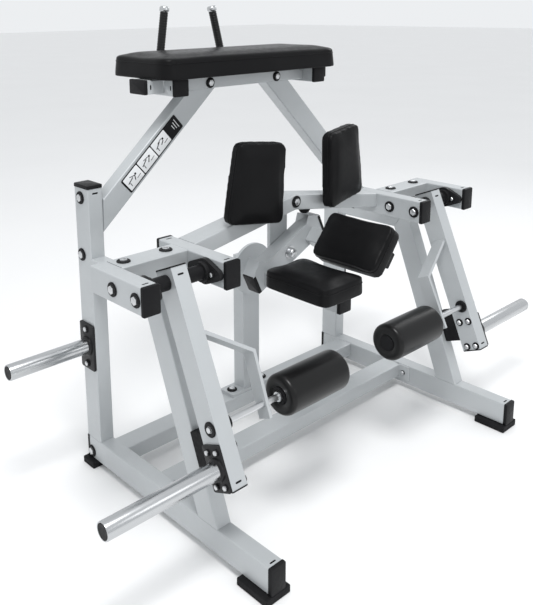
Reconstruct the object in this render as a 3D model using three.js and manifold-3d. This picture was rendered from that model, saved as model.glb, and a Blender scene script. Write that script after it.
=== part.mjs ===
// Plate-loaded kneeling leg machine: a welded tube frame, a chest pad with two handles,
// two thigh pads, a knee cradle that tips to either side, and two swinging levers, each with
// a weight horn and an ankle roller.
// Millimetres, +Z up, +X to the machine's right, -Y to its front, floor at z = 0.
import * as THREE from 'three';
import { mergeVertices } from 'three/addons/utils/BufferGeometryUtils.js';
import Module from 'manifold-3d';

const wasm = await Module();
wasm.setup();

const GAP = 0.3;                      // air between pieces that touch
const TUBE = { wide: 50, deep: 75 };  // the frame's one tube section
const HORN_RADIUS = 24;
const PLATE = 7;                      // flat plates that carry the horns

// Side frames: inner and outer face of the rails, uprights and bent legs.
const SIDE = { inner: 543, outer: 543 + TUBE.wide };
const RAIL = { front: -758, rear: 75, bottom: 22, top: 22 + TUBE.deep };
const FOOT = { inner: 526, outer: 610, front: -760, length: 110, rearFront: 22, rearLength: 60 };
const UPRIGHT_TOP = 926;
const SIDE_BEAM = { bottom: 629, top: 704 };
const LEG = { elbowY: -318, elbowInnerY: -267, footFrontY: -558, footRearY: -477, bend: 60 };

// Floor members between the rails, and the post on the rear one.
const REAR_MEMBER = { front: -79, rear: -4, bottom: 44, top: 94 };
const FRONT_MEMBER = { front: -320, rear: -245, bottom: 43, top: 93 };
const POST = { half: 38, front: -67, rear: -17, top: 595, flangeHalf: 98, flange: 10 };

// Forks that hold the levers, on top of the side beams.
const FORK = { bottom: SIDE_BEAM.top + GAP, height: TUBE.deep, front: -468 };
const OUTER_BEAM = { inner: 686, outer: 736, rear: -232 };
const INNER_BEAM = { inner: 420, outer: 470, rear: -165 };
const FORK_CROSS = { front: -307, rear: -232 };
const MID_BEAM = { front: -277, rear: -200, endTop: 779, middleTop: 848, height: 50 };

// Levers, in a frame whose origin is the pivot and whose -Z runs down the lever.
const PIVOT = { y: -391, z: 741.5 };
const LEVER_LEAN = THREE.MathUtils.degToRad(23.42);
const LEVER = { inner: 558, outer: 608, half: 35, above: 36, below: 544 };
const SHAFT_RADIUS = 17.5;
const BEARING = { flange: 14, boss: 12, bore: 17.6, reach: 51, end: 16, middle: 36, bossRadius: 28 };
const WEIGHT_HORN = { down: 484, forward: 4, end: 954, plateTop: 422 };
const STOP = { inner: 560, outer: 600, top: 395, bottom: 505 };
const AXLE = {
  radius: 9, down: 384.4, forward: 13.3,
  head: 15, headLength: 8, collar: 14, collarLength: 5,
};
const ROLLER = { radius: 60, near: 122, length: 240, edge: 14, bore: 9.1, boreEnd: 20 };
const ROLLER_ARM = {
  thick: 10, rear: 16, front: -28,
  top: -146, bendX: 412, bend: -242, footX: 420, foot: -424,
};

// Upper frame with the chest pad.
const STRUT = { foot: 778, rise: 0.94, height: 102.9, front: 0, rear: 50, lean: 25 };
const TOP = { bottom: 1173, top: 1223 };
const TOP_CROSS = { front: -40, rear: 37, bottom: 1181 };
const TOP_RAIL = { inner: 283, outer: 335, front: -95, stubEnd: 405 };
const HANDLE_RAIL = { inner: 123, outer: 173, rear: 257 };
const HANDLE = {
  x: 148, y: 232, topX: 105, topY: 246, top: 1437,
  rod: 11, grip: 14, gripStart: 36, knob: 17, knobLength: 20, footGap: 4,
};
const CHEST_PAD = { half: 388, front: -125, rear: 180, thick: 66, corner: 55 };

// Storage horns on the uprights.
const STORAGE = { y: 37, z: 417, end: 864, plateBottom: 340, plateTop: 490 };

// Thigh pads: the corners of the left one's face, and how far the inner edge is toed forward.
const THIGH_PAD = {
  corners: [[-315, 810], [-108, 784], [-95, 1037], [-273, 1055]],
  corner: 30,
  thick: 38,
  middleX: -198,
  faceY: -319,
  toe: THREE.MathUtils.degToRad(8.1),
};

// Knee cradle, in a frame turned about its pivot.
const CRADLE = { z: 650, tilt: THREE.MathUtils.degToRad(25.5), front: -252, rear: -202 };
const CRADLE_ARM = { half: 170, height: 37, earInner: 104, earOuter: 124, earTop: 60, shoulder: 28 };
const PIN = { radius: 12.5, bore: 12.6, head: 16, headLength: 24 };
const HANGER = { half: 40, front: -199.7, rear: -185.7, bottom: 520 };
const SPACER = { radius: 24, z: 549 };
const DISC = { radius: 90, thick: 10 };
const KNEE_TUBE = { x: 109.5, z: -19, size: 50, end: -560 };
const KNEE_PAD = { thick: 54, rear: -340, front: -590, corner: 26 };
const KNEE_PAD_EDGES = { left: [-122, 57], right: [-80, 80] };

const frameGrey = new THREE.MeshStandardMaterial({ color: 0xc4c9cc, roughness: 0.45, metalness: 0.1 });
const plateBlack = new THREE.MeshStandardMaterial({ color: 0x17181a, roughness: 0.45, metalness: 0.2 });
const rubber = new THREE.MeshStandardMaterial({ color: 0x101112, roughness: 0.7, metalness: 0 });
const upholstery = new THREE.MeshStandardMaterial({ color: 0x17181a, roughness: 0.4, metalness: 0 });
const foam = new THREE.MeshStandardMaterial({ color: 0x121314, roughness: 0.35, metalness: 0 });
const chrome = new THREE.MeshStandardMaterial({ color: 0xd0d3d6, roughness: 0.15, metalness: 1 });
const steel = new THREE.MeshStandardMaterial({ color: 0xb9bdc0, roughness: 0.35, metalness: 0.9 });

const machine = new THREE.Group();

function add(parent, name, geometry, material) {
  const mesh = new THREE.Mesh(geometry, material);
  mesh.name = name;
  parent.add(mesh);
  return mesh;
}

function sideName(side) {
  return side < 0 ? 'left' : 'right';
}

// A block between two corners, given in any order.
function block(x0, x1, y0, y1, z0, z1) {
  const geometry = new THREE.BoxGeometry(Math.abs(x1 - x0), Math.abs(y1 - y0), Math.abs(z1 - z0));
  return geometry.translate((x0 + x1) / 2, (y0 + y1) / 2, (z0 + z1) / 2);
}

function outline(points) {
  return new THREE.Shape(points.map(([u, v]) => new THREE.Vector2(u, v)));
}

// A closed outline with each corner rounded by a quadratic curve that starts `radius` before it.
function roundedOutline(points, radius) {
  const shape = new THREE.Shape();
  const corners = points.map(([u, v]) => new THREE.Vector2(u, v));
  corners.forEach((corner, i) => {
    const before = corners[(i + corners.length - 1) % corners.length];
    const after = corners[(i + 1) % corners.length];
    const start = before.clone().sub(corner).setLength(radius).add(corner);
    const end = after.clone().sub(corner).setLength(radius).add(corner);
    if (i === 0) shape.moveTo(start.x, start.y);
    else shape.lineTo(start.x, start.y);
    shape.quadraticCurveTo(corner.x, corner.y, end.x, end.y);
  });
  shape.closePath();
  return shape;
}

// Outlines pushed along an axis: across X from a (y, z) outline, along Y from an (x, z) one,
// up Z from an (x, y) one.
function pushed(shape, depth, steps = 4) {
  return new THREE.ExtrudeGeometry(shape, { depth, bevelEnabled: false, curveSegments: steps });
}

function pushedX(shape, x0, x1, steps) {
  const turn = new THREE.Matrix4().makeBasis(
    new THREE.Vector3(0, 1, 0), new THREE.Vector3(0, 0, 1), new THREE.Vector3(1, 0, 0));
  return pushed(shape, Math.abs(x1 - x0), steps).applyMatrix4(turn).translate(Math.min(x0, x1), 0, 0);
}

function pushedY(shape, y0, y1, steps) {
  return pushed(shape, y1 - y0, steps).rotateX(Math.PI / 2).translate(0, y1, 0);
}

function pushedZ(shape, z0, z1, steps) {
  return pushed(shape, z1 - z0, steps).translate(0, 0, z0);
}

// A turned piece along +X (side 1) or -X (side -1); the profile is [distance out, radius] pairs.
function turnedX(profile, side, segments) {
  const points = profile.map(([out, radius]) => new THREE.Vector2(radius, out));
  return new THREE.LatheGeometry(points, segments).rotateZ(-side * Math.PI / 2);
}

function rodX(x0, x1, radius, segments) {
  const rod = new THREE.CylinderGeometry(radius, radius, Math.abs(x1 - x0), segments).rotateZ(Math.PI / 2);
  return rod.translate((x0 + x1) / 2, 0, 0);
}

function rodY(y0, y1, radius, segments) {
  const rod = new THREE.CylinderGeometry(radius, radius, Math.abs(y1 - y0), segments);
  return rod.translate(0, (y0 + y1) / 2, 0);
}

function toSolid(geometry) {
  const plain = geometry.clone();
  plain.deleteAttribute('normal');
  plain.deleteAttribute('uv');
  const merged = mergeVertices(plain);
  const vertProperties = new Float32Array(merged.attributes.position.array);
  const triVerts = new Uint32Array(merged.index.array);
  return new wasm.Manifold(new wasm.Mesh({ numProp: 3, vertProperties, triVerts }));
}

function fromSolid(solid) {
  const mesh = solid.getMesh();
  const geometry = new THREE.BufferGeometry();
  geometry.setAttribute('position', new THREE.BufferAttribute(mesh.vertProperties, 3));
  geometry.setIndex(new THREE.BufferAttribute(mesh.triVerts, 1));
  geometry.computeVertexNormals();
  return geometry;
}

function joined(...geometries) {
  return fromSolid(geometries.map(toSolid).reduce((whole, piece) => whole.add(piece)));
}

function cut(geometry, ...tools) {
  return fromSolid(tools.map(toSolid).reduce((whole, tool) => whole.subtract(tool), toSolid(geometry)));
}

function makeSideFrame(side) {
  const name = sideName(side);
  const inner = side * SIDE.inner;
  const outer = side * SIDE.outer;
  const rail = block(inner, outer, RAIL.front, RAIL.rear, RAIL.bottom, RAIL.top);
  add(machine, `${name}_rail`, rail, frameGrey);
  const feet = [
    ['front', FOOT.front, FOOT.length],
    ['rear', FOOT.rearFront, FOOT.rearLength],
  ];
  for (const [end, front, length] of feet) {
    const shoe = block(side * FOOT.inner, side * FOOT.outer, front, front + length, 0, RAIL.bottom - GAP);
    add(machine, `${name}_${end}_foot`, shoe, rubber);
  }
  const upright = block(inner, outer, 0, TUBE.deep, RAIL.top + GAP, UPRIGHT_TOP);
  add(machine, `${name}_upright`, upright, frameGrey);
}

// The side beam and the front leg are one bent run of tube, cut through the elbow.
function makeBentFrame(side) {
  const name = sideName(side);
  const legLength = Math.hypot(LEG.footFrontY - LEG.elbowY, RAIL.top - SIDE_BEAM.top);
  const alongY = (LEG.footFrontY - LEG.elbowY) / legLength;
  const alongZ = (RAIL.top - SIDE_BEAM.top) / legLength;
  const turn = Math.PI / 2 - Math.atan2(-alongY, -alongZ);
  const tangent = LEG.bend * Math.tan(turn / 2);
  const centreY = LEG.elbowY + tangent;
  const centreZ = SIDE_BEAM.top - LEG.bend;
  const onBend = (share) => [
    centreY - LEG.bend * Math.sin(share * turn),
    centreZ + LEG.bend * Math.cos(share * turn),
  ];
  const beam = outline([
    [-GAP, SIDE_BEAM.bottom], [-GAP, SIDE_BEAM.top],
    onBend(0), onBend(0.25), onBend(0.5), [LEG.elbowInnerY, SIDE_BEAM.bottom],
  ]);
  const leg = outline([
    onBend(0.52), onBend(0.75), onBend(1),
    [LEG.footFrontY, RAIL.top + GAP], [LEG.footRearY, RAIL.top + GAP],
    [LEG.elbowInnerY - 2 * GAP, SIDE_BEAM.bottom - 2 * GAP],
  ]);
  add(machine, `${name}_side_beam`, pushedX(beam, side * SIDE.inner, side * SIDE.outer), frameGrey);
  add(machine, `${name}_front_leg`, pushedX(leg, side * SIDE.inner, side * SIDE.outer), frameGrey);
}

function makeFork(side) {
  const name = sideName(side);
  const top = FORK.bottom + FORK.height;
  const beams = [['outer', OUTER_BEAM], ['inner', INNER_BEAM]];
  for (const [place, beam] of beams) {
    const tube = block(side * beam.inner, side * beam.outer, FORK.front, beam.rear, FORK.bottom, top);
    add(machine, `${name}_${place}_fork_beam`, tube, frameGrey);
  }
  const cross = block(
    side * (INNER_BEAM.outer + GAP), side * (OUTER_BEAM.inner - GAP),
    FORK_CROSS.front, FORK_CROSS.rear, FORK.bottom, top);
  add(machine, `${name}_fork_cross_tube`, cross, frameGrey);
}

// A two-bolt flange with a round boss; `face` is where it is bolted on, `out` the way it points.
function bearingGeometry(face, out) {
  const flange = new THREE.Shape();
  const slope = Math.acos((BEARING.middle - BEARING.end) / BEARING.reach);
  flange.absarc(BEARING.reach, 0, BEARING.end, -slope, slope);
  flange.absarc(0, 0, BEARING.middle, slope, Math.PI - slope);
  flange.absarc(-BEARING.reach, 0, BEARING.end, Math.PI - slope, Math.PI + slope);
  flange.absarc(0, 0, BEARING.middle, Math.PI + slope, 2 * Math.PI - slope);
  const plate = pushedX(flange, face, face + out * BEARING.flange, 10);
  const whole = BEARING.flange + BEARING.boss;
  const boss = rodX(face, face + out * whole, BEARING.bossRadius, 48);
  const bore = rodX(face - out, face + out * (whole + 1), BEARING.bore, 48);
  return cut(joined(plate, boss), bore);
}

function makeBearings(side) {
  const name = sideName(side);
  const seats = [
    ['outer', side * (OUTER_BEAM.inner - GAP), -side],
    ['inner', side * (INNER_BEAM.outer + GAP), side],
  ];
  for (const [place, face, out] of seats) {
    const bearing = add(machine, `${name}_${place}_bearing`, bearingGeometry(face, out), plateBlack);
    bearing.position.set(0, PIVOT.y, PIVOT.z);
  }
}

// The rubber block on the front leg that the hanging lever rests on.
function makeStop(side) {
  const downY = -Math.sin(LEVER_LEAN);
  const downZ = -Math.cos(LEVER_LEAN);
  const behind = LEVER.half + GAP;
  const onLever = (down) => [
    PIVOT.y + down * downY - behind * downZ,
    PIVOT.z + down * downZ + behind * downY,
  ];
  const legY = LEG.footFrontY - LEG.elbowY;
  const legZ = RAIL.top - SIDE_BEAM.top;
  const legLength = Math.hypot(legY, legZ);
  const onLeg = ([y, z]) => {
    const along = ((y - LEG.elbowY) * legY + (z - SIDE_BEAM.top) * legZ) / legLength;
    return [
      LEG.elbowY + (along * legY + GAP * legZ) / legLength,
      SIDE_BEAM.top + (along * legZ - GAP * legY) / legLength,
    ];
  };
  const top = onLever(STOP.top);
  const bottom = onLever(STOP.bottom);
  const shape = outline([top, bottom, onLeg(bottom), onLeg(top)]);
  const stop = pushedX(shape, side * STOP.inner, side * STOP.outer);
  add(machine, `${sideName(side)}_lever_stop`, stop, rubber);
}

// The flat bar's outline for a centre line with one bend, its top end cut flush with the lever.
function bentStrip(top, bend, foot, thick) {
  const half = thick / 2;
  const upper = bend.clone().sub(top).normalize();
  const lower = foot.clone().sub(bend).normalize();
  const across = (direction) => new THREE.Vector2(-direction.y, direction.x);
  const mitre = across(upper).add(across(lower)).normalize();
  const reach = half / mitre.dot(across(upper));
  const flush = half / Math.abs(upper.x);
  const shift = Math.sign(across(upper).y) * flush;
  return new THREE.Shape([
    new THREE.Vector2(top.x, top.y + shift),
    bend.clone().addScaledVector(mitre, reach),
    foot.clone().addScaledVector(across(lower), half),
    foot.clone().addScaledVector(across(lower), -half),
    bend.clone().addScaledVector(mitre, -reach),
    new THREE.Vector2(top.x, top.y - shift),
  ]);
}

function makeLever(side) {
  const name = sideName(side);
  const lever = new THREE.Group();
  lever.position.set(0, PIVOT.y, PIVOT.z);
  lever.rotation.x = -LEVER_LEAN;
  machine.add(lever);

  const axleHole = rodX(side * (LEVER.inner - 1), side * (LEVER.outer + 1), AXLE.radius + GAP, 24)
    .translate(0, -AXLE.forward, -AXLE.down);
  const tube = block(
    side * LEVER.inner, side * LEVER.outer, -LEVER.half, LEVER.half, -LEVER.below, LEVER.above);
  const shaft = rodX(
    side * (INNER_BEAM.outer + 2 * GAP), side * (OUTER_BEAM.inner - 2 * GAP), SHAFT_RADIUS, 48);
  add(lever, `${name}_lever`, joined(cut(tube, axleHole), shaft), frameGrey);

  const hornFace = LEVER.outer + GAP;
  const plate = block(
    side * hornFace, side * (hornFace + PLATE),
    -LEVER.half, LEVER.half, -LEVER.below, -WEIGHT_HORN.plateTop);
  const horn = rodX(side * (hornFace + PLATE / 2), side * WEIGHT_HORN.end, HORN_RADIUS, 40)
    .translate(0, -WEIGHT_HORN.forward, -WEIGHT_HORN.down);
  add(lever, `${name}_weight_horn`, joined(plate, horn), chrome);

  const holeReach = 4 * ROLLER_ARM.thick;
  const armHole = rodX(
    side * (ROLLER_ARM.footX - holeReach), side * (ROLLER_ARM.footX + holeReach), AXLE.radius + GAP, 24)
    .translate(0, -AXLE.forward, -AXLE.down);
  const strip = bentStrip(
    new THREE.Vector2(side * (LEVER.inner - GAP), ROLLER_ARM.top),
    new THREE.Vector2(side * ROLLER_ARM.bendX, ROLLER_ARM.bend),
    new THREE.Vector2(side * ROLLER_ARM.footX, ROLLER_ARM.foot),
    ROLLER_ARM.thick);
  const arm = cut(pushedY(strip, ROLLER_ARM.front, ROLLER_ARM.rear), armHole);
  add(lever, `${name}_roller_arm`, arm, frameGrey);

  // The axle runs from its head on the lever's outer face to inside the roller.
  const rollerFar = ROLLER.near + ROLLER.length;
  const axle = turnedX([
    [ROLLER.near + ROLLER.boreEnd + 1, 0], [ROLLER.near + ROLLER.boreEnd + 1, AXLE.radius],
    [rollerFar + 1, AXLE.radius], [rollerFar + 1, AXLE.collar],
    [rollerFar + 1 + AXLE.collarLength, AXLE.collar], [rollerFar + 1 + AXLE.collarLength, AXLE.radius],
    [hornFace, AXLE.radius], [hornFace, AXLE.head],
    [hornFace + AXLE.headLength, AXLE.head], [hornFace + AXLE.headLength, 0],
  ], side, 32);
  add(lever, `${name}_roller_axle`, axle, steel).position.set(0, -AXLE.forward, -AXLE.down);

  const soft = ROLLER.radius - ROLLER.edge;
  const lean = Math.SQRT1_2 * ROLLER.edge;
  const roller = turnedX([
    [0, 0], [0, soft], [ROLLER.edge - lean, soft + lean], [ROLLER.edge, ROLLER.radius],
    [ROLLER.length - ROLLER.edge, ROLLER.radius], [ROLLER.length - ROLLER.edge + lean, soft + lean],
    [ROLLER.length, soft], [ROLLER.length, ROLLER.bore],
    [ROLLER.boreEnd, ROLLER.bore], [ROLLER.boreEnd, 0],
  ], side, 40);
  const place = add(lever, `${name}_ankle_roller`, roller, foam);
  place.position.set(side * ROLLER.near, -AXLE.forward, -AXLE.down);
}

function makeStorageHorn(side) {
  const face = SIDE.outer + GAP;
  const plate = block(
    side * face, side * (face + PLATE), 0, TUBE.deep, STORAGE.plateBottom, STORAGE.plateTop);
  const horn = rodX(side * (face + PLATE / 2), side * STORAGE.end, HORN_RADIUS, 40)
    .translate(0, STORAGE.y, STORAGE.z);
  add(machine, `${sideName(side)}_storage_horn`, joined(plate, horn), chrome);
}

// A strut rises from the upright to the top cross tube and leans forward on the way.
function makeStrut(side) {
  const root = SIDE.inner - GAP;
  const top = TOP_CROSS.bottom - GAP;
  const lowerRun = (top - STRUT.foot) / STRUT.rise;
  const upperRun = (top - STRUT.foot - STRUT.height) / STRUT.rise;
  const shape = outline([
    [side * root, STRUT.foot], [side * (root - lowerRun), top],
    [side * (root - upperRun), top], [side * root, STRUT.foot + STRUT.height],
  ]);
  const strut = pushedY(shape, STRUT.front, STRUT.rear);
  const slope = STRUT.lean / (top - STRUT.foot);
  const lean = new THREE.Matrix4().makeShear(0, 0, 0, 0, 0, -slope);
  strut.applyMatrix4(lean).translate(0, slope * STRUT.foot, 0);
  add(machine, `${sideName(side)}_strut`, strut, frameGrey);
}

function makeTopFrame() {
  const between = TOP_RAIL.inner - GAP;
  const cross = block(-between, between, TOP_CROSS.front, TOP_CROSS.rear, TOP_CROSS.bottom, TOP.top);
  add(machine, 'top_cross_tube', cross, frameGrey);
  for (const side of [-1, 1]) {
    const rail = block(
      side * TOP_RAIL.inner, side * TOP_RAIL.outer,
      TOP_RAIL.front, TOP_CROSS.rear, TOP.bottom, TOP.top);
    const stub = block(
      side * (TOP_RAIL.outer - 1), side * TOP_RAIL.stubEnd,
      TOP_CROSS.front, TOP_CROSS.rear, TOP_CROSS.bottom, TOP.top);
    add(machine, `${sideName(side)}_top_rail`, joined(rail, stub), frameGrey);
    const handleRail = block(
      side * HANDLE_RAIL.inner, side * HANDLE_RAIL.outer,
      TOP_CROSS.rear + GAP, HANDLE_RAIL.rear, TOP_CROSS.bottom, TOP.top);
    add(machine, `${sideName(side)}_handle_rail`, handleRail, frameGrey);
  }
}

function makeHandle(side) {
  const foot = new THREE.Vector3(side * HANDLE.x, HANDLE.y, TOP.top + HANDLE.footGap);
  const top = new THREE.Vector3(side * HANDLE.topX, HANDLE.topY, HANDLE.top);
  const run = top.clone().sub(foot);
  const length = run.length();
  const knobStart = length - HANDLE.knobLength;
  const profile = [
    [0, 0], [0, HANDLE.rod], [HANDLE.gripStart, HANDLE.rod], [HANDLE.gripStart, HANDLE.grip],
    [knobStart, HANDLE.grip], [knobStart, HANDLE.knob], [length - 3, HANDLE.knob],
    [length, HANDLE.knob - 4], [length, 0],
  ];
  const points = profile.map(([along, radius]) => new THREE.Vector2(radius, along));
  const handle = add(machine, `${sideName(side)}_handle`, new THREE.LatheGeometry(points, 32), foam);
  handle.quaternion.setFromUnitVectors(new THREE.Vector3(0, 1, 0), run.normalize());
  handle.position.copy(foot);
}

function makeChestPad() {
  const { half, front, rear, corner, thick } = CHEST_PAD;
  const shape = roundedOutline([[-half, front], [half, front], [half, rear], [-half, rear]], corner);
  add(machine, 'chest_pad', pushedZ(shape, TOP.top + GAP, TOP.top + GAP + thick, 5), upholstery);
}

function makeFloorMembers() {
  const half = SIDE.inner - GAP;
  const members = [['rear_member', REAR_MEMBER], ['front_member', FRONT_MEMBER]];
  for (const [name, member] of members) {
    const tube = block(-half, half, member.front, member.rear, member.bottom, member.top);
    add(machine, name, tube, frameGrey);
  }
  const foot = REAR_MEMBER.top + GAP;
  const tube = block(-POST.half, POST.half, POST.front, POST.rear, foot, POST.top);
  const flange = block(
    -POST.flangeHalf, POST.flangeHalf, POST.front - 8, POST.rear + 8, foot, foot + POST.flange);
  const disc = rodY(POST.front - DISC.thick, POST.front + 1, DISC.radius, 48).translate(0, 0, SPACER.z);
  add(machine, 'centre_post', joined(tube, flange, disc), frameGrey);
}

// The roof-shaped beam between the forks, and the plate that hangs from it to the post.
function midBeamShape(grow) {
  const half = INNER_BEAM.inner - GAP + grow;
  const bottom = -MID_BEAM.height - grow;
  return outline([
    [-half, MID_BEAM.endTop + bottom], [0, MID_BEAM.middleTop + bottom], [half, MID_BEAM.endTop + bottom],
    [half, MID_BEAM.endTop + grow], [0, MID_BEAM.middleTop + grow], [-half, MID_BEAM.endTop + grow],
  ]);
}

function makeMidBeam() {
  add(machine, 'mid_beam', pushedY(midBeamShape(0), MID_BEAM.front, MID_BEAM.rear), frameGrey);
  const plate = block(
    -HANGER.half, HANGER.half, HANGER.front, HANGER.rear, HANGER.bottom,
    MID_BEAM.middleTop - 10);
  add(machine, 'hanger_plate', plate, frameGrey);
  const spacer = rodY(HANGER.rear + GAP, POST.front - DISC.thick - GAP, SPACER.radius, 32);
  add(machine, 'spacer_pipe', spacer.translate(0, 0, SPACER.z), steel);
}

function makeThighPad(side) {
  const { corners, corner, thick, middleX, faceY, toe } = THIGH_PAD;
  const placed = corners.map(([x, z]) => [x - middleX, z]);
  const flat = side < 0 ? placed : placed.map(([x, z]) => [-x, z]).reverse();
  const pad = pushedY(roundedOutline(flat, corner), 0, thick, 4)
    .rotateZ(side * toe)
    .translate(-side * middleX, faceY, 0);
  const beam = pushedY(midBeamShape(1), MID_BEAM.front - 1, MID_BEAM.rear + 1);
  add(machine, `${sideName(side)}_thigh_pad`, cut(pad, beam), upholstery);
}

function makeCradle() {
  const pin = joined(
    rodY(CRADLE.front - PIN.headLength, HANGER.front - GAP, PIN.radius, 48),
    rodY(CRADLE.front - PIN.headLength, CRADLE.front - GAP, PIN.head, 48));
  add(machine, 'cradle_pin', pin, steel).position.z = CRADLE.z;

  const cradle = new THREE.Group();
  cradle.position.z = CRADLE.z;
  cradle.rotation.y = -CRADLE.tilt;
  machine.add(cradle);

  const { half, height, earInner, earOuter, earTop, shoulder } = CRADLE_ARM;
  const rightHalf = [[half, -height], [half, shoulder], [earOuter, earTop], [earInner, height]];
  const leftHalf = rightHalf.map(([x, z]) => [-x, z]).reverse();
  const bore = rodY(CRADLE.front - 1, CRADLE.rear + 1, PIN.bore, 48);
  const arm = pushedY(outline([...rightHalf, ...leftHalf]), CRADLE.front, CRADLE.rear);
  add(cradle, 'cradle_arm', cut(arm, bore), frameGrey);

  for (const side of [-1, 1]) {
    const name = sideName(side);
    const perch = new THREE.Group();
    perch.position.set(side * KNEE_TUBE.x, 0, KNEE_TUBE.z);
    perch.rotation.y = -side * CRADLE.tilt;
    cradle.add(perch);
    const size = KNEE_TUBE.size / 2;
    const tube = block(-size, size, KNEE_TUBE.end, CRADLE.front - GAP, -size, size);
    add(perch, `${name}_knee_tube`, tube, frameGrey);
    const [near, far] = KNEE_PAD_EDGES[name];
    const shape = roundedOutline([
      [near, KNEE_PAD.front], [far, KNEE_PAD.front], [far, KNEE_PAD.rear], [near, KNEE_PAD.rear],
    ], KNEE_PAD.corner);
    const pad = pushedZ(shape, size + GAP, size + GAP + KNEE_PAD.thick, 4);
    add(perch, `${name}_knee_pad`, pad, upholstery);
  }
}

for (const side of [-1, 1]) {
  makeSideFrame(side);
  makeBentFrame(side);
  makeFork(side);
  makeBearings(side);
  makeStop(side);
  makeLever(side);
  makeStorageHorn(side);
  makeStrut(side);
  makeHandle(side);
  makeThighPad(side);
}
makeTopFrame();
makeChestPad();
makeFloorMembers();
makeMidBeam();
makeCradle();

// The origin is on the floor, under the middle of the machine's box.
machine.updateMatrixWorld(true);
const box = new THREE.Box3().setFromObject(machine, true);
const middle = box.getCenter(new THREE.Vector3());
machine.position.set(-middle.x, -middle.y, -box.min.z);

const group = new THREE.Group();
group.add(machine);
export default group;
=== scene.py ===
import math

import bmesh
import bpy
import numpy as np
from mathutils import Matrix, Vector


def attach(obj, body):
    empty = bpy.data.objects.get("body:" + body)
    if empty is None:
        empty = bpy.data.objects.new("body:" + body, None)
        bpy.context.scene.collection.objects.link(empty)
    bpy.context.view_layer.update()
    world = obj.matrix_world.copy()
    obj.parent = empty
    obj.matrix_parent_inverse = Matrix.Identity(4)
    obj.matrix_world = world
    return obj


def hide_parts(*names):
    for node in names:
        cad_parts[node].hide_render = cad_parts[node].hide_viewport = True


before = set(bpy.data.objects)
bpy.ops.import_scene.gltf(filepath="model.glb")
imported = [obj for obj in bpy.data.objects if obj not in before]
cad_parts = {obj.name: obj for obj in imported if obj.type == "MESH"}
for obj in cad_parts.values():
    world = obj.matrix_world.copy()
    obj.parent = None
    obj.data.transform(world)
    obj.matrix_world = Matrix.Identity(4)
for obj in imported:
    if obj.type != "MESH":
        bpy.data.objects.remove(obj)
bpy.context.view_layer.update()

# The machine's own drawing is in millimetres, with y from the front of its uprights.
ORIGIN_Y = 248.616
SIDES = (("left", -1), ("right", 1))
X, Y, Z = Vector((1, 0, 0)), Vector((0, 1, 0)), Vector((0, 0, 1))

PIVOT = Vector((0, -391, 741.5))
LEVER_LEAN = math.radians(23.42)
LEVER_REAR = Vector((0, math.cos(LEVER_LEAN), -math.sin(LEVER_LEAN)))
LEVER_UP = Vector((0, math.sin(LEVER_LEAN), math.cos(LEVER_LEAN)))
CRADLE_TILT = math.radians(25.5)
CRADLE_ACROSS = Vector((math.cos(CRADLE_TILT), 0, math.sin(CRADLE_TILT)))
CRADLE_UP = Vector((-math.sin(CRADLE_TILT), 0, math.cos(CRADLE_TILT)))
CRADLE_ORIGIN = Vector((0, 0, 650))

# How far the strut's front face comes forward over its height, and its foot and middle.
STRUT_FALL = 25 / 402.7
STRUT_FOOT_Z = 778

# The frame's tubes, and where their middles and faces lie. Distances across are from the middle plane.
TUBE_WIDE, TUBE_DEEP = 50, 75
SIDE_X, SIDE_OUTER = 568, 593
RAIL_FRONT, RAIL_REAR, RAIL_Z, RAIL_TOP = -758, 75, 59.5, 97
UPRIGHT_Y, UPRIGHT_TOP = 37.5, 926
OUTER_BEAM_X, OUTER_BEAM_FACE = 711, 736
INNER_BEAM_X, INNER_BEAM_FACE = 445, 420
BEAM_Z, BEAM_TOP, BEAM_FRONT, INNER_BEAM_REAR = 741.8, 779.3, -468, -165
BEARING_FACES = (484.3, 671.7)
TOP_RAIL_X, TOP_RAIL_FRONT, TOP_RAIL_FACE = 309, -95, 335
STUB_END, CROSS_FRONT, CROSS_Z = 405, -40, 1202
HANDLE_RAIL_X, HANDLE_RAIL_REAR = 148, 257

# The levers, in their own frame: across, towards the rear, and up the lever from the pivot.
LEVER_X, LEVER_INNER, LEVER_OUTER = 583, 558, 608
LEVER_DEEP, LEVER_TOP, LEVER_BOTTOM = 70, 36, -544
AXLE_REAR, AXLE_UP = -13.3, -384.4
HORN_PLATE_OUT, HORN_REAR, HORN_UP, HORN_END = 615.3, -4, -484, 954
STORAGE_PLATE_OUT, STORAGE_Y, STORAGE_Z, STORAGE_END = 600.3, 37, 417, 864

# The cradle and its knee pads, which stand at this angle to each other.
CRADLE_Y, CRADLE_HALF = -227, 170
KNEE_TURN = math.radians(51)
KNEE_TURNED_UP = Vector((-math.sin(KNEE_TURN), 0, math.cos(KNEE_TURN)))

CAMERA = {
    "place": (-1.7200, -1.6305, 1.4384),
    "azimuth": math.radians(42.108),
    "dip": math.radians(12.518),
    "roll": math.radians(-0.571),
    "lens": 45.13,
    "shift": (0.0561, -0.2129),
}


def place(point):
    """A point of the drawing, in the shared frame and in metres."""
    x, y, z = point
    return Vector((x, y + ORIGIN_Y, z)) * 0.001


def on_lever(side, x, rear, up):
    """A point given in a lever's own frame, in the drawing's."""
    return PIVOT + X * (side * x) + LEVER_REAR * rear + LEVER_UP * up


def on_cradle(across, y, up):
    """A point given in the tilted cradle's frame, in the drawing's."""
    return CRADLE_ORIGIN + CRADLE_ACROSS * across + Y * y + CRADLE_UP * up


# ---------------------------------------------------------------- materials

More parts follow.
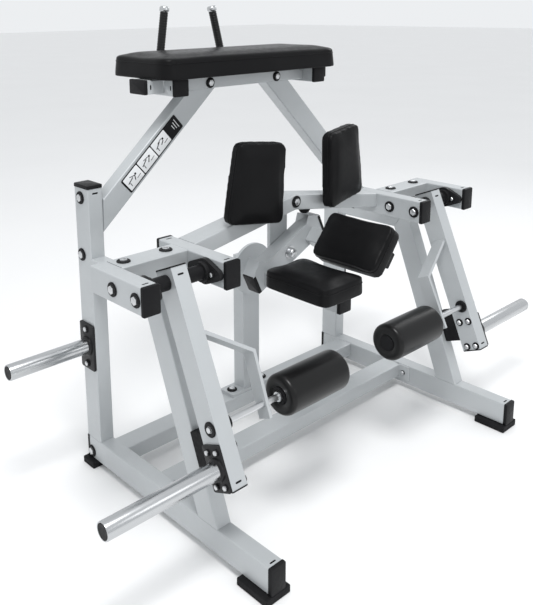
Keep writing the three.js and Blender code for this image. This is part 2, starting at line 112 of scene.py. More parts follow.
def look(name, dark, light, rough, grain, relief, patch=5.0, metal=0.0, coat=0.0, shine=0.5, cells=False):
    """A finish with tint patches, uneven gloss and a fine relief, all from the piece's own place."""
    material = bpy.data.materials.new(name)
    material.use_nodes = True
    nodes, links = material.node_tree.nodes, material.node_tree.links
    shader = nodes["Principled BSDF"]
    where = nodes.new("ShaderNodeTexCoord").outputs["Object"]

    def noise(scale, detail):
        node = nodes.new("ShaderNodeTexNoise")
        node.inputs["Scale"].default_value = scale
        node.inputs["Detail"].default_value = detail
        links.new(where, node.inputs["Vector"])
        return node.outputs["Fac"]

    tint = nodes.new("ShaderNodeMix")
    tint.data_type = "RGBA"
    tint.inputs["A"].default_value = (*dark, 1)
    tint.inputs["B"].default_value = (*light, 1)
    links.new(noise(patch, 4), tint.inputs["Factor"])
    links.new(tint.outputs["Result"], shader.inputs["Base Color"])

    gloss = nodes.new("ShaderNodeMapRange")
    gloss.inputs["From Min"].default_value = 0.3
    gloss.inputs["From Max"].default_value = 0.7
    gloss.inputs["To Min"].default_value = rough[0]
    gloss.inputs["To Max"].default_value = rough[1]
    links.new(noise(patch * 9, 5), gloss.inputs["Value"])
    links.new(gloss.outputs["Result"], shader.inputs["Roughness"])

    if cells:
        height = nodes.new("ShaderNodeTexVoronoi")
        height.inputs["Scale"].default_value = grain
        links.new(where, height.inputs["Vector"])
        relief_from = height.outputs["Distance"]
    else:
        relief_from = noise(grain, 3)
    bump = nodes.new("ShaderNodeBump")
    bump.inputs["Strength"].default_value = relief[0]
    bump.inputs["Distance"].default_value = relief[1]
    links.new(relief_from, bump.inputs["Height"])
    links.new(bump.outputs["Normal"], shader.inputs["Normal"])

    shader.inputs["Metallic"].default_value = metal
    shader.inputs["Coat Weight"].default_value = coat
    shader.inputs["Coat Roughness"].default_value = 0.2
    shader.inputs["Specular IOR Level"].default_value = shine
    return material


LOOKS = {
    "frame_paint": look("silver_powder_coat", (0.43, 0.45, 0.462), (0.5, 0.522, 0.534), (0.34, 0.46),
                        900, (0.12, 0.0004), metal=0.25, coat=0.15),
    "upholstery": look("black_synthetic_leather", (0.003, 0.003, 0.0035), (0.008, 0.008, 0.0085), (0.28, 0.4),
                       520, (0.3, 0.0005), patch=7, shine=0.1, cells=True),
    "roller_foam": look("black_foam_skin", (0.003, 0.003, 0.003), (0.008, 0.008, 0.0085), (0.3, 0.33),
                        900, (0.1, 0.0002), patch=3, shine=0.28),
    "rubber": look("matt_black_rubber", (0.006, 0.006, 0.007), (0.013, 0.013, 0.014), (0.55, 0.75),
                   700, (0.3, 0.0005), patch=12, shine=0.14),
    "black_plate": look("satin_black_paint", (0.011, 0.011, 0.012), (0.019, 0.019, 0.02), (0.32, 0.46),
                        900, (0.15, 0.0004), patch=10, shine=0.2),
    "black_plastic": look("moulded_black_plastic", (0.005, 0.005, 0.006), (0.011, 0.011, 0.012), (0.38, 0.52),
                          1100, (0.25, 0.0004), patch=14, shine=0.14),
    "chrome": look("chrome_plate", (0.5, 0.51, 0.52), (0.56, 0.57, 0.58), (0.2, 0.24),
                   2500, (0.02, 0.00001), patch=3, metal=1.0),
    "steel": look("zinc_plated_steel", (0.55, 0.56, 0.57), (0.68, 0.69, 0.7), (0.28, 0.34),
                  2500, (0.03, 0.00002), patch=20, metal=1.0),
    "panel": look("printed_panel", (0.74, 0.75, 0.76), (0.8, 0.81, 0.82), (0.3, 0.4),
                  1200, (0.05, 0.0002), patch=10),
}


# ---------------------------------------------------------------- pieces

def piece(name, shape, slot, body, stands_for=(), crease=35, finish=None):
    """Makes the object, gives it its finish and puts it on its body."""
    mesh = bpy.data.meshes.new(name)
    shape.to_mesh(mesh)
    shape.free()
    thing = bpy.data.objects.new(name, mesh)
    bpy.context.scene.collection.objects.link(thing)
    mesh.materials.append(LOOKS[finish or slot])
    mesh.shade_smooth()
    mesh.set_sharp_from_angle(angle=math.radians(crease))
    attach(thing, body)
    if stands_for:
        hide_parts(*stands_for)
    return thing


def cad_shape(node):
    """A clean copy of a CAD node's mesh, with whole flat faces."""
    shape = bmesh.new()
    shape.from_mesh(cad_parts[node].data)
    bmesh.ops.remove_doubles(shape, verts=shape.verts, dist=2e-5)
    bmesh.ops.dissolve_limit(shape, angle_limit=math.radians(0.6), verts=shape.verts, edges=shape.edges)
    return shape


END_AREA = 0.0062


def rounded(node, body, slot, radius=0.004, every_edge=False):
    """A CAD node with its long corners rounded, as on rolled tube. Cut ends stay sharp under their caps."""
    shape = cad_shape(node)
    sharp = {e for e in shape.edges if len(e.link_faces) == 2 and e.calc_face_angle(0) > math.radians(40)}
    if not every_edge:
        for face in shape.faces:
            if face.calc_area() < END_AREA and all(e in sharp for e in face.edges):
                sharp -= set(face.edges)
    bmesh.ops.bevel(shape, geom=list(sharp), offset=radius, offset_type="OFFSET", segments=3,
                    profile=0.5, affect="EDGES", clamp_overlap=True)
    thing = piece(f"{node}_body", shape, slot, body, stands_for=[node], crease=50)
    weighted = thing.modifiers.new("even_shade", "WEIGHTED_NORMAL")
    weighted.keep_sharp = True
    return thing


def turned(name, start, axis, profile, slot, body, stands_for=(), segments=48, crease=35, finish=None):
    """A turned piece: profile lists (distance along the axis, radius), in millimetres."""
    axis = axis.normalized()
    u = axis.orthogonal().normalized()
    v = axis.cross(u)
    shape = bmesh.new()
    rings = []
    for along, radius in profile:
        centre = start + axis * along
        if radius < 0.01:
            rings.append([shape.verts.new(place(centre))])
            continue
        ring = []
        for i in range(segments):
            a = 2 * math.pi * i / segments
            ring.append(shape.verts.new(place(centre + (u * math.cos(a) + v * math.sin(a)) * radius)))
        rings.append(ring)
    for low, high in zip(rings, rings[1:]):
        for i in range(segments):
            j = (i + 1) % segments
            if len(low) == 1:
                shape.faces.new((low[0], high[j], high[i]))
            elif len(high) == 1:
                shape.faces.new((low[i], low[j], high[0]))
            else:
                shape.faces.new((low[i], low[j], high[j], high[i]))
    bmesh.ops.recalc_face_normals(shape, faces=shape.faces)
    return piece(name, shape, slot, body, stands_for, crease, finish)


def quarter(steps):
    """The angles of a quarter turn, from 0."""
    return [math.pi / 2 * i / steps for i in range(steps + 1)]


def round_ended(start, end, radius, edge, steps=5):
    """The profile of a rod whose ends are rounded by edge."""
    arc = [(edge * (1 - math.sin(a)), radius - edge * (1 - math.cos(a))) for a in quarter(steps)]
    points = [(start, 0)]
    points += [(start + inset, r) for inset, r in reversed(arc)]
    points += [(end - inset, r) for inset, r in arc]
    return points + [(end, 0)]


def slab(shape, centre, across, up, width, height, depth, corner=3.0, edge=1.0):
    """Adds a plate with rounded corners to shape. It stands out from centre along across x up."""
    across, up = across.normalized(), up.normalized()
    out = across.cross(up)
    outline = []
    for sx, sy, start in ((1, 1, 0), (-1, 1, 1), (-1, -1, 2), (1, -1, 3)):
        for i in range(5):
            a = math.pi / 2 * (start + i / 4)
            outline.append((sx * (width / 2 - corner) + corner * math.cos(a),
                            sy * (height / 2 - corner) + corner * math.sin(a)))

    def ring(lift, inset):
        made = []
        for x, y in outline:
            kx, ky = 1 - 2 * inset / width, 1 - 2 * inset / height
            made.append(shape.verts.new(place(centre + across * x * kx + up * y * ky + out * lift)))
        return made

    rings = [ring(0, 0), ring(depth - edge, 0), ring(depth - edge * 0.3, edge * 0.3), ring(depth, edge)]
    for low, high in zip(rings, rings[1:]):
        for i in range(len(low)):
            j = (i + 1) % len(low)
            shape.faces.new((low[i], low[j], high[j], high[i]))
    shape.faces.new(rings[-1])
    shape.faces.new(list(reversed(rings[0])))


def plate(name, centre, across, up, width, height, depth, slot, body, corner=3.0, edge=1.0,
          stands_for=(), finish=None):
    """One slab as a piece of its own."""
    shape = bmesh.new()
    slab(shape, centre, across, up, width, height, depth, corner, edge)
    return piece(name, shape, slot, body, stands_for, finish=finish)


# ---------------------------------------------------------------- frame

BEAMS = ("rail", "upright", "side_beam", "front_leg", "outer_fork_beam", "inner_fork_beam",
         "fork_cross_tube", "strut", "top_rail", "handle_rail")


def make_tubes():
    """Every tube, plate and rubber block whose shape is the CAD's, with its corners rounded."""
    for node in ("rear_member", "front_member", "mid_beam", "top_cross_tube"):
        rounded(node, "frame", "frame_paint")
    rounded("centre_post", "frame", "frame_paint", 0.003)
    rounded("hanger_plate", "frame", "frame_paint", 0.0015, True)
    for name, _ in SIDES:
        for part in BEAMS:
            rounded(f"{name}_{part}", "frame", "frame_paint")
        for part in ("front_foot", "rear_foot", "lever_stop"):
            rounded(f"{name}_{part}", "frame", "rubber", 0.003, True)
        for part in ("outer_bearing", "inner_bearing"):
            rounded(f"{name}_{part}", "frame", "black_plate", 0.0012, True)
        rounded(f"{name}_lever", f"{name}_lever_arm", "frame_paint")
        rounded(f"{name}_roller_arm", f"{name}_lever_arm", "frame_paint", 0.002, True)
        rounded(f"{name}_knee_tube", "cradle", "frame_paint")
    rounded("cradle_arm", "cradle", "frame_paint", 0.003)


# ---------------------------------------------------------------- caps

CAP = {"thick": 11, "proud": 1.2, "edge": 2.5, "corner": 4}


class Shapes:
    """Small parts gathered into one mesh for each body and finish."""

    def __init__(self):
        self.shapes = {}

    def of(self, kind, body):
        key = (kind, body)
        if key not in self.shapes:
            self.shapes[key] = bmesh.new()
        return self.shapes[key]

    def finish(self, slots):
        for (kind, body), shape in self.shapes.items():
            piece(f"{body}_{kind}", shape, slots[kind], body)


SMALL_SLOTS = {
    "caps": "black_plastic",
    "washers": "black_plastic",
    "bolts": "steel",
    # The vent slabs are painted shade: their black stands in for the shade inside each vent opening.
    "vents": "black_plastic",
}
small = Shapes()


def cap(body, end, out, up, width, height, thick=CAP["thick"]):
    """A plug pressed over a tube's end. end is the middle of the end face."""
    out, up = out.normalized(), up.normalized()
    across = up.cross(out)
    grow = 2 * CAP["proud"]
    slab(small.of("caps", body), end - out * (thick - CAP["proud"]), across, up,
         width + grow, height + grow, thick, CAP["corner"], min(CAP["edge"], thick / 2))


def vent_shade_mark(body, centre, out, along, length=20, width=5):
    """The small vent beside a cap, drawn as a thin dark slab: painted shade standing in for the inside of its
    opening.
    """
    slab(small.of("vents", body), centre - out * 0.4, along, out.cross(along), length, width, 0.7,
         3.2, 0.2)


def make_caps():
    """The plugs in the open tube ends, and dark slabs beside them that paint the shade inside the vent
    openings.
    """
    tube = (TUBE_WIDE, TUBE_DEEP)
    for name, side in SIDES:
        lever = f"{name}_lever_arm"
        cap("frame", Vector((side * SIDE_X, RAIL_FRONT, RAIL_Z)), -Y, Z, *tube)
        cap("frame", Vector((side * SIDE_X, RAIL_REAR, RAIL_Z)), Y, Z, *tube)
        cap("frame", Vector((side * SIDE_X, UPRIGHT_Y, UPRIGHT_TOP)), Z, Y, *tube)
        cap("frame", Vector((side * OUTER_BEAM_X, BEAM_FRONT, BEAM_Z)), -Y, Z, *tube)
        cap("frame", Vector((side * INNER_BEAM_X, BEAM_FRONT, BEAM_Z)), -Y, Z, *tube)
        cap("frame", Vector((side * INNER_BEAM_X, INNER_BEAM_REAR, BEAM_Z)), Y, Z, *tube)
        cap("frame", Vector((side * TOP_RAIL_X, TOP_RAIL_FRONT, 1198)), -Y, Z, 52, 50)
        cap("frame", Vector((side * STUB_END, -1.5, CROSS_Z)), X * side, Z, 77, 42)
        cap("frame", Vector((side * HANDLE_RAIL_X, HANDLE_RAIL_REAR, CROSS_Z)), Y, Z, 50, 42)
        for x, y in ((OUTER_BEAM_X, -442), (INNER_BEAM_X, -442), (INNER_BEAM_X, -190)):
            vent_shade_mark("frame", Vector((side * x, y, BEAM_TOP)), Z, X)
        vent_shade_mark("frame", Vector((side * SIDE_X, 0, 902)), -Y, X)
        vent_shade_mark(lever, on_lever(side, LEVER_X, -LEVER_DEEP / 2, 12), -LEVER_REAR, X)
        vent_shade_mark("frame", Vector((side * SIDE_X, -738, RAIL_TOP)), Z, X)
        lever_end = (TUBE_WIDE, LEVER_DEEP, 4)
        cap(lever, on_lever(side, LEVER_X, 0, LEVER_TOP), LEVER_UP, LEVER_REAR, *lever_end)
        cap(lever, on_lever(side, LEVER_X, 0, LEVER_BOTTOM), -LEVER_UP, LEVER_REAR, *lever_end)
        vent_shade_mark(lever, on_lever(side, LEVER_X, -LEVER_DEEP / 2, -526), -LEVER_REAR, X)
        vent_shade_mark("frame", Vector((side * 383, CROSS_FRONT, CROSS_Z)), -Y, Z, 15)
        vent_shade_mark("frame", Vector((side * TOP_RAIL_FACE, -74, 1198)), X * side, Z, 15)


# ---------------------------------------------------------------- bolts

def fastener(body, point, out, washer=19.5, head=12):
    """A hexagon head on a dished black washer."""
    out = out.normalized()
    u = out.orthogonal().normalized()
    if abs(u.dot(Z)) > 0.9:
        u = out.cross(u)
    v = out.cross(u)

    def rings(shape, profile, count, turn=0.0):
        made = []
        for along, radius in profile:
            ring = []
            for i in range(count):
                a = 2 * math.pi * i / count + turn
                way = u * math.cos(a) + v * math.sin(a)
                ring.append(shape.verts.new(place(point + out * along + way * radius)))
            made.append(ring)
        for low, high in zip(made, made[1:]):
            for i in range(count):
                j = (i + 1) % count
                shape.faces.new((low[i], low[j], high[j], high[i]))
        shape.faces.new(made[-1])

    rings(small.of("washers", body),
          [(-0.3, washer), (2.2, washer), (3.6, washer - 1.4), (4.0, washer - 3.4), (2.6, head + 0.8)], 32)
    rings(small.of("bolts", body), [(2.0, head), (6.6, head), (7.8, head - 1.3)], 6, 0.3)
    rings(small.of("bolts", body), [(7.6, head * 0.72), (8.3, head * 0.6), (8.6, head * 0.3)], 16)


def make_bolts():
    """Every bolt head, where the parts are bolted together."""
    for name, side in SIDES:
        lever = f"{name}_lever_arm"
        out, inward = X * side, -X * side
        for y, z in ((42, 886), (49, 708), (52, 46)):
            fastener("frame", Vector((side * SIDE_OUTER, y, z)), out)
        for y in (-334, -435):
            fastener("frame", Vector((side * OUTER_BEAM_FACE, y, 741)), out)
            fastener("frame", Vector((side * INNER_BEAM_FACE, y, 741)), inward)
        for x in (655, 515):
            fastener("frame", Vector((side * x, -267, BEAM_TOP)), Z, 19, 11)
        for y in (PIVOT.y - 51 * 0.72, PIVOT.y + 51 * 0.72):
            for x, way in zip(BEARING_FACES, (out, inward)):
                fastener("frame", Vector((side * x, y, PIVOT.z)), way, 9.5, 6.5)
        for rear in (-22, 14):
            for up in (-440, -528):
                fastener(lever, on_lever(side, HORN_PLATE_OUT, rear, up), out, 9, 7)
                fastener(lever, on_lever(side, LEVER_INNER, rear, up), inward, 12.8, 8.6)
        plate(f"{name}_joint_plate", Vector((side * 543.1, -334, 65)), Y, Z * -side, 62, 56, 5,
              "frame_paint", "frame", 3, 1)
        fastener("frame", Vector((side * 538.1, -338, 65)), inward, 9, 8)
        fastener("frame", Vector((side * 150, CROSS_FRONT, 1199)), -Y, 17, 11)
        fastener("frame", Vector((side * 72, -42, 104.3)), Z, 18, 11)
        for z in (359, 472):
            fastener("frame", Vector((side * STORAGE_PLATE_OUT, STORAGE_Y, z)), out, 11.5, 8)
    fastener("frame", Vector((0, -277, 825)), -Y)


# ---------------------------------------------------------------- horns, levers, rollers

def horn(name, root, out, length, body, stands_for=()):
    """A chrome sleeve with a welded collar and a plug in its end."""
    collar = [(0, 23), (0, 31), (5, 30.4), (8, 26.5), (8.6, 24.3), (8.6, 23)]
    turned(f"{name}_collar", root, out, collar, "black_plate", body)
    profile = [(0, 0), (0, 24), (length - 4, 24), (length - 1.6, 23.2),
               (length - 0.8, 22), (length - 1.4, 20.5), (length - 4, 20.2), (length - 4, 0)]
    turned(f"{name}_sleeve", root, out, profile, "chrome", body, stands_for)
    plug = [(length - 8, 0), (length - 8, 20), (length - 2.6, 20), (length - 1.2, 18.6),
            (length - 1.8, 12), (length - 1.4, 0)]
    turned(f"{name}_plug", root, out, plug, "black_plastic", body)


def make_horns():
    """The weight horns on the levers and the storage horns on the uprights."""
    for name, side in SIDES:
        lever = f"{name}_lever_arm"
        out = X * side
        plate(f"{name}_weight_plate", on_lever(side, 608.4, 0, -483), LEVER_REAR, LEVER_UP * side,
              LEVER_DEEP, 122, 6.9, "black_plate", lever, 6, 1.2)
        horn(f"{name}_weight", on_lever(side, HORN_PLATE_OUT, HORN_REAR, HORN_UP), out,
             HORN_END - HORN_PLATE_OUT, lever, [f"{name}_weight_horn"])
        plate(f"{name}_storage_plate", Vector((side * 593.3, 37.5, 415)), Y, Z * side, 75, 150, 7,
              "black_plate", "frame", 6, 1.2)
        horn(f"{name}_storage", Vector((side * STORAGE_PLATE_OUT, STORAGE_Y, STORAGE_Z)), out,
             STORAGE_END - STORAGE_PLATE_OUT, "frame", [f"{name}_storage_horn"])


def make_axles():
    """The roller axles, and the sleeves over the levers' shafts."""
    for name, side in SIDES:
        lever = f"{name}_lever_arm"
        start = on_lever(side, 350, AXLE_REAR, AXLE_UP)
        out = X * side
        nut = [(0, 0), (0, 9), (13, 9), (13, 14), (18, 14), (18, 9), (261, 9), (261, 8.2), (265, 8),
               (266.4, 6.4), (266.6, 0)]
        turned(f"{name}_axle", start, out, nut, "steel", lever, [f"{name}_roller_axle"], 32)
        face = [(-0.3, 9.2), (-0.3, 20.5), (2.4, 20.5), (4.2, 18.6), (4.6, 12), (3.4, 9.2)]
        turned(f"{name}_nut_washer", on_lever(side, LEVER_OUTER, AXLE_REAR, AXLE_UP), out, face,
               "black_plastic", lever)
        hub = [(-7.6, 10), (-7.6, 20), (-5.6, 21), (-0.3, 21), (-0.3, 10)]
        turned(f"{name}_hub_washer", on_lever(side, LEVER_INNER, AXLE_REAR, AXLE_UP), out, hub,
               "black_plastic", lever)
        for spot, near, far in (("inner", 497, 557.4), ("outer", 608.6, 659)):
            sleeve = [(0, 17.7), (0, 21), (far - near, 21), (far - near, 17.7)]
            turned(f"{name}_{spot}_shaft_sleeve", on_lever(side, near, 0, 0), out, sleeve, "black_plastic",
                   lever)


def make_rollers():
    """The foam rollers: a slightly crowned skin with soft ends, a disc and a hub."""
    crown = 12
    for name, side in SIDES:
        body = f"{name}_roller"
        start = on_lever(side, 122, AXLE_REAR, AXLE_UP)
        out = X * side
        profile = [(3.5, 0), (3.5, 26), (0.4, 30)]
        profile += [(0.4 + 14 * (1 - math.cos(a)), 46 + 13.4 * math.sin(a)) for a in quarter(8)]
        profile += [(14.4 + 211 * i / crown, 59.4 + 0.6 * math.sin(math.pi * i / crown))
                    for i in range(1, crown)]
        profile += [(225.6 + 14 * math.sin(a), 46 + 13.4 * math.cos(a)) for a in quarter(8)]
        profile += [(239.6, 30), (236.5, 26), (236.5, 10), (226, 9.6), (226, 0)]
        roll = turned(f"{name}_roller_cover", start, out, profile, "roller_foam", body,
                      [f"{name}_ankle_roller"], 72, 45)
        disc = [(2.2, 0), (2.2, 24.5), (1.2, 25.5), (3.4, 25.8), (3.4, 0)]
        turned(f"{name}_roller_end", start, out, disc, "black_plastic", body)
        ring = [(236.6, 9.7), (236.6, 25.6), (238.4, 25.2), (239.2, 22), (239.2, 14), (239.9, 13.4),
                (239.9, 9.7)]
        turned(f"{name}_roller_hub", start, out, ring, "black_plastic", body)


def make_handles():
    """Two leaning handles: a steel rod, a ribbed rubber grip and a chrome knob."""
    for name, side in SIDES:
        foot = Vector((side * 148, 232, 1227))
        top = Vector((side * 105, 246, 1437))
        length = (top - foot).length
        grip_start, knob = 36, 20
        rod = [(-4, 0), (-4, 17), (-1.5, 17), (0, 11.4), (grip_start + 4, 11), (grip_start + 4, 0)]
        turned(f"{name}_handle_rod", foot, top - foot, rod, "steel", "frame")
        grip = [(grip_start, 0), (grip_start, 13.2), (grip_start + 1.5, 14)]
        groove = grip_start + 6
        while groove < length - knob - 8:
            grip += [(groove, 14), (groove + 1.2, 13.1), (groove + 2.4, 13.1), (groove + 3.6, 14)]
            groove += 9
        grip += [(length - knob - 2, 14), (length - knob, 13.2), (length - knob, 0)]
        turned(f"{name}_handle_grip", foot, top - foot, grip, "roller_foam", "frame", [f"{name}_handle"], 40)
        end = round_ended(length - knob - 0.2, length, 17, 7)
        turned(f"{name}_handle_knob", foot, top - foot, end, "chrome", "frame", segments=40, crease=60)


# ---------------------------------------------------------------- pads

# Mesh size, how much smaller the block starts, how far it may swell, and how often its corners are eased.
BROAD_PAD = (0.006, 0.003, 0.012, 8)
SMALL_PAD = (0.004, 0.002, 0.010, 10)
PADS = (
    ("chest_pad", "frame", Z, *BROAD_PAD),
    ("left_thigh_pad", "frame", -Y, *SMALL_PAD),
    ("right_thigh_pad", "frame", -Y, *SMALL_PAD),
    ("left_knee_pad", "cradle", Z, *SMALL_PAD),
    ("right_knee_pad", "cradle", KNEE_TURNED_UP, *SMALL_PAD),
)
PIN_DEPTH = 0.012
FRAMES = 20


def facing(shape, guess):
    """The outward direction of the broad face nearest to the guessed one."""
    fit = [f for f in shape.faces if f.normal.dot(guess) > 0.8]
    return max(fit, key=lambda f: f.calc_area()).normal.copy()


def applied(thing):
    """Puts what the modifiers make into the piece's own mesh."""
    graph = bpy.context.evaluated_depsgraph_get()
    graph.update()
    mesh = bpy.data.meshes.new_from_object(thing.evaluated_get(graph))
    thing.modifiers.clear()
    old = thing.data
    thing.data = mesh
    bpy.data.meshes.remove(old)


def points_of(mesh):
    co = np.zeros(len(mesh.vertices) * 3)
    mesh.vertices.foreach_get("co", co)
    return co.reshape(-1, 3)


def blank_pad(node, guess, voxel, shrink, rounding):
    """The pad's slightly smaller foam block, ready to be filled."""
    shape = cad_shape(node)
    out = facing(shape, guess)
    shape.normal_update()
    mesh = bpy.data.meshes.new(f"{node}_cushion")
    shape.to_mesh(mesh)
    shape.free()
    thing = bpy.data.objects.new(f"{node}_cushion", mesh)
    bpy.context.scene.collection.objects.link(thing)
    remesh = thing.modifiers.new("even", "REMESH")
    remesh.mode = "VOXEL"
    remesh.voxel_size = voxel
    smooth = thing.modifiers.new("round", "SMOOTH")
    smooth.factor = 0.5
    smooth.iterations = rounding
    applied(thing)
    mesh = thing.data
    co = points_of(mesh)
    normals = np.array([v.normal for v in mesh.vertices])
    heights = co @ np.array(out)
    co -= normals * shrink * 0.5
    mesh.vertices.foreach_set("co", co.ravel())
    mesh.update()
    held = thing.vertex_groups.new(name="board")
    low = heights.min()
    held.add([i for i, h in enumerate(heights) if h < low + PIN_DEPTH], 1.0, "REPLACE")
    return thing, out, low, heights.max()


def eased(moved, mesh, rounds=70):
    """Evens out a swelling over the pad, so that its cover stays taut and free of creases."""
    edges = np.zeros(len(mesh.edges) * 2, int)
    mesh.edges.foreach_get("vertices", edges)
    one, two = edges.reshape(-1, 2).T
    count = np.bincount(edges, minlength=len(moved))[:, None]
    for _ in range(rounds):
        total = np.zeros_like(moved)
        np.add.at(total, one, moved[two])
        np.add.at(total, two, moved[one])
        moved = 0.5 * moved + 0.5 * total / count
    return moved


def fill(things, caps):
    """Blows every pad up under cloth tension, and limits how far it may swell."""
    rest = [points_of(t.data) for t in things]
    for thing in things:
        cloth = thing.modifiers.new("fill", "CLOTH")
        cloth.settings.quality = 5
        cloth.settings.mass = 0.3
        cloth.settings.tension_stiffness = 20
        cloth.settings.compression_stiffness = 20
        cloth.settings.bending_stiffness = 0.5
        cloth.settings.use_pressure = True
        cloth.settings.uniform_pressure_force = 4
        cloth.settings.vertex_group_mass = "board"
        cloth.settings.effector_weights.gravity = 0
        cloth.collision_settings.use_collision = False
        cloth.point_cache.frame_start = 1
        cloth.point_cache.frame_end = FRAMES
    for step in range(1, FRAMES + 1):
        bpy.context.scene.frame_set(step)
    for thing, before, most in zip(things, rest, caps):
        applied(thing)
        after = points_of(thing.data)
        moved = after - before
        far = np.linalg.norm(moved, axis=1, keepdims=True)
        limit = np.minimum(1.0, most / np.maximum(far, 1e-9))
        swelling = eased(moved * limit, thing.data)
        thing.data.vertices.foreach_set("co", (before + swelling).ravel())
        thing.data.update()
    bpy.context.scene.frame_set(1)


def cut_loop(mesh, point, normal):
    """The closed line where a plane crosses the piece."""
    shape = bmesh.new()
    shape.from_mesh(mesh)
    made = bmesh.ops.bisect_plane(shape, geom=shape.verts[:] + shape.edges[:] + shape.faces[:],
                                  plane_co=point, plane_no=normal)
    edges = {e for e in made["geom_cut"] if isinstance(e, bmesh.types.BMEdge)}
    first = next(iter(sorted(edges, key=lambda e: e.index)))
    start, now = first.verts[0], first.verts[1]
    line, used = [start.co.copy(), now.co.copy()], {first}
    while now != start:
        ahead = [e for e in now.link_edges if e in edges and e not in used]
        if not ahead:
            break
        used.add(ahead[0])
        now = ahead[0].other_vert(now)
        line.append(now.co.copy())
    shape.free()
    return line[:-1]


def seam(name, pad, out, height, radius, body):
    """A sewn welt that follows the pad's side at one height."""
    line = cut_loop(pad.data, out * height, out)
    count = len(line)
    for _ in range(3):
        line = [(line[i - 1] + line[i] * 2 + line[(i + 1) % count]) / 4 for i in range(count)]
    shape = bmesh.new()
    rings = []
    for i, point in enumerate(line):
        along = (line[(i + 1) % count] - line[i - 1]).normalized()
        aside = along.cross(out).normalized()
        ring = []
        for k in range(8):
            a = math.pi / 4 * k
            ring.append(shape.verts.new(point + (aside * math.cos(a) + out * math.sin(a)) * radius))
        rings.append(ring)
    for i in range(count):
        low, high = rings[i], rings[(i + 1) % count]
        for k in range(8):
            j = (k + 1) % 8
            shape.faces.new((low[k], low[j], high[j], high[k]))
    bmesh.ops.recalc_face_normals(shape, faces=shape.faces)
    piece(name, shape, "upholstery", body, crease=80)


def make_pads():
    """The five cushions, filled together, with a welt sewn round each."""
    made = []
    for node, body, guess, voxel, shrink, most, rounding in PADS:
        made.append(blank_pad(node, guess, voxel, shrink, rounding))
    things = [m[0] for m in made]
    fill(things, [p[5] for p in PADS])
    for (node, body, *_), (thing, out, low, high) in zip(PADS, made):
        finer = thing.modifiers.new("finer", "SUBSURF")
        finer.levels = 1
        finer.render_levels = 1
        applied(thing)
        thing.data.materials.clear()
        thing.data.materials.append(LOOKS["upholstery"])
        thing.data.shade_smooth()
        thing.vertex_groups.clear()
        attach(thing, body)
        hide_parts(node)
        depth = high - low
        seam(f"{node}_top_seam", thing, out, high - min(0.017, depth * 0.36), 0.0015, body)


# ---------------------------------------------------------------- placard and bumper

def make_placard():
    """The placard on the left strut: three panels of plain figures, and a header of bars."""
    along = Vector((1, -STRUT_FALL * 0.94, 0.94)).normalized()
    out = Vector((0, -1, -STRUT_FALL)).normalized()
    across = out.cross(along)
    middle_x, middle_z = -364.5, 996
    centre = Vector((middle_x, -STRUT_FALL * (middle_z - STRUT_FOOT_Z), middle_z)) + out * 0.2
    length, width = 272, 57
    panel, gap = 66, 4

    def flat(name, shift, size_along, size_across, lift, finish, corner=2.5):
        plate(name, centre + along * shift + out * lift, along, across,
              size_along, size_across, 0.5, "black_plastic", "frame", corner, 0.15, finish=finish)

    flat("placard", 0, length, width, 0, "black_plastic", 5)
    for i in range(3):
        shift = -length / 2 + 6 + panel / 2 + i * (panel + gap)
        flat(f"placard_panel_{i}", shift, panel, width - 8, 0.3, "panel")
        ink = bmesh.new()

        def bar(x, y, long, wide, turn):
            way = along * math.cos(turn) + across * math.sin(turn)
            slab(ink, centre + along * (shift + x) + across * y + out * 0.75, way, out.cross(way),
                 long, wide, 0.3, min(long, wide) * 0.48, 0.1)

        bar(-14, 2, 26, 3.2, 0.2 + i * 0.12)
        bar(4, -3, 16, 3.2, 1.1 - i * 0.3)
        bar(-2, 9, 20, 2.4, -0.5 + i * 0.35)
        bar(12, 6, 7.5, 7.5, 0)
        bar(-20, -9, 13, 2.4, 1.5)
        bar(17, -10, 18, 2.0, 0.1)
        piece(f"placard_figure_{i}", ink, "black_plastic", "frame")
    head = bmesh.new()
    for k in range(3):
        slab(head, centre + along * (length / 2 - 12 - k * 9) + out * 0.45, across, out.cross(across),
             34 - k * 8, 2.2, 0.3, 1, 0.1)
    piece("placard_header_bars", head, "black_plastic", "frame", finish="panel")


def make_bumper():
    """The rubber stop under the mid beam, over the cradle's raised end."""
    turned("stop_bumper", Vector((84, -236, 790)), -Z,
           [(0, 0), (0, 22), (8, 22), (14, 19), (22, 15), (25, 10), (25.5, 0)], "rubber", "frame", crease=50)


# ---------------------------------------------------------------- cradle

def make_pivot():
    """The cradle's pin, the pipe under it, and the caps on the cradle's tubes."""
    start = Vector((0, -186, 650))
    pin = [(0, 0), (0, 12.4), (66.2, 12.4), (66.2, 22), (68.6, 22), (69, 16), (78, 16)]
    pin += [(78 + 10 * math.sin(a), 2 + 14 * math.cos(a)) for a in quarter(6)[1:]]
    pin += [(88, 0)]
    turned("cradle_pin_bolt", start, -Y, pin, "steel", "frame", ["cradle_pin"], 40, 40)
    rounded("spacer_pipe", "frame", "steel", 0.001, True)
    for side, up in ((-1, Z), (1, KNEE_TURNED_UP)):
        cap("cradle", on_cradle(side * 109.5, -560, -19), -Y, up, 50, 50)
        way = CRADLE_ACROSS * side
        cap("cradle", on_cradle(side * CRADLE_HALF, CRADLE_Y, -4.5), way, CRADLE_UP, 50, 65)


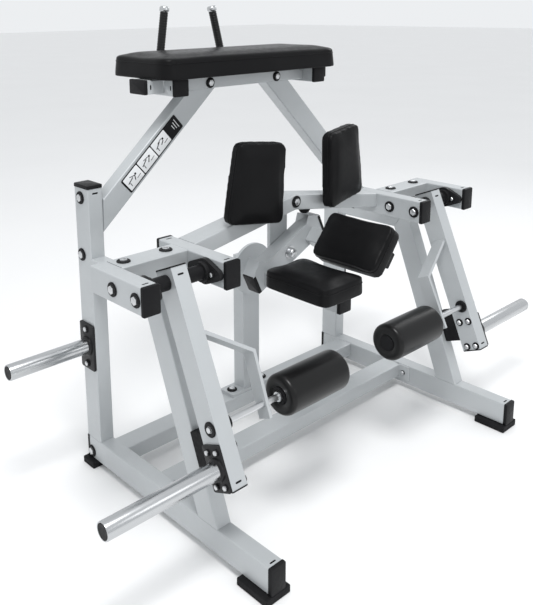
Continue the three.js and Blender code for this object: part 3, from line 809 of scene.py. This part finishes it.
def make_camera():
    """The camera, from its azimuth, dip and roll."""
    az, dip, roll = CAMERA["azimuth"], CAMERA["dip"], CAMERA["roll"]
    ahead = Vector((math.sin(az) * math.cos(dip), math.cos(az) * math.cos(dip), -math.sin(dip)))
    level = Vector((math.cos(az), -math.sin(az), 0))
    above = level.cross(ahead)
    right = level * math.cos(roll) + above * math.sin(roll)
    up = right.cross(ahead)
    data = bpy.data.cameras.new("camera")
    data.lens = CAMERA["lens"]
    data.sensor_width = 36
    data.shift_x, data.shift_y = CAMERA["shift"]
    camera = bpy.data.objects.new("camera", data)
    turn = Matrix((right, up, -ahead)).transposed().to_4x4()
    camera.matrix_world = Matrix.Translation(CAMERA["place"]) @ turn
    bpy.context.scene.collection.objects.link(camera)
    bpy.context.scene.camera = camera


def lamp(name, spot, aim, size, power):
    """A round soft lamp."""
    data = bpy.data.lights.new(name, "AREA")
    data.shape = "DISK"
    data.size = size
    data.energy = power
    thing = bpy.data.objects.new(name, data)
    thing.location = spot
    thing.rotation_euler = (Vector(aim) - Vector(spot)).to_track_quat("-Z", "Y").to_euler()
    bpy.context.scene.collection.objects.link(thing)


def make_studio():
    """The pale floor, the even light all round and three soft lamps."""
    shape = bmesh.new()
    bmesh.ops.create_grid(shape, x_segments=4, y_segments=4, size=40)
    mesh = bpy.data.meshes.new("floor")
    shape.to_mesh(mesh)
    shape.free()
    floor = bpy.data.objects.new("floor", mesh)
    mesh.materials.append(look("pale_floor", (0.86, 0.86, 0.86), (0.9, 0.9, 0.9), (0.6, 0.7),
                               30, (0.02, 0.001), patch=1.0))
    bpy.context.scene.collection.objects.link(floor)
    world = bpy.data.worlds.new("studio")
    world.use_nodes = True
    sky = world.node_tree.nodes["Background"]
    sky.inputs["Color"].default_value = (0.96, 0.98, 1.0, 1)
    sky.inputs["Strength"].default_value = 0.88
    bpy.context.scene.world = world
    bpy.context.scene.view_settings.view_transform = "Standard"
    lamp("key", (-1.2, -1.3, 4.3), (0, 0, 0.6), 1.4, 105)
    lamp("front", (0.6, -3.8, 2.4), (0, 0, 0.6), 1.6, 9)
    lamp("side", (3.4, 0.4, 2.6), (0, 0, 0.7), 1.6, 14)


make_tubes()
make_caps()
make_bolts()
make_horns()
make_axles()
make_rollers()
make_handles()
make_pads()
make_placard()
make_bumper()
make_pivot()
small.finish(SMALL_SLOTS)
make_camera()
make_studio()

bpy.context.view_layer.update()
